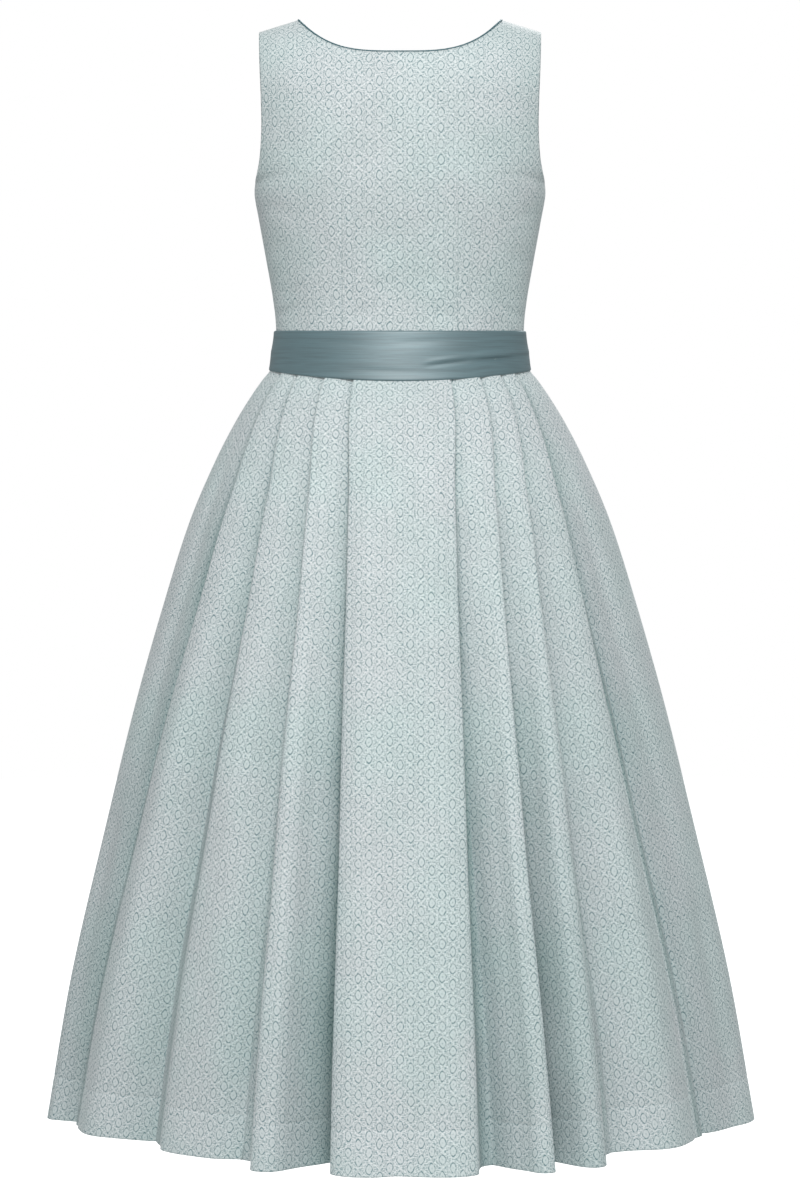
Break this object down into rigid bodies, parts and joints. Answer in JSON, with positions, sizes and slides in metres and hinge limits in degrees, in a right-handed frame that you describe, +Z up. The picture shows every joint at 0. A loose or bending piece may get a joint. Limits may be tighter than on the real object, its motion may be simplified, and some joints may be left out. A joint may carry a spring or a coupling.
{
  "type": "dirndl",
  "caption": "Sleeveless dirndl dress in medallion jacquard, with a fitted darted bodice, a satin waist sash and a knife-pleated midi skirt, hollow as worn.",
  "frame": {"origin": "midway between the two shoulder seams, at the height of the shoulder line, where the wearer's shoulders hold the dress", "axes": "+Z up from hem to shoulders, -Y towards the back of the dress, +Y towards its front, -X towards the wearer's left"},
  "size_m": [0.784, 0.6858, 1.2087],
  "materials": {
    "cloth": "cotton jacquard with a small woven lattice of oval medallions, soft sheen",
    "sash": "dusty teal slub satin with fine horizontal slubs",
    "piping": "dark teal satin piping"
  },
  "bodies": {
    "root": {"bodice_back": "cloth", "bodice_front_left": "cloth", "bodice_front_right": "cloth", "neck_piping_back": "piping", "neck_piping_front_left": "piping", "neck_piping_front_right": "piping", "sash": "sash", "skirt_back": "cloth", "skirt_front_left": "cloth", "skirt_front_right": "cloth"}
  },
  "joints": []
}
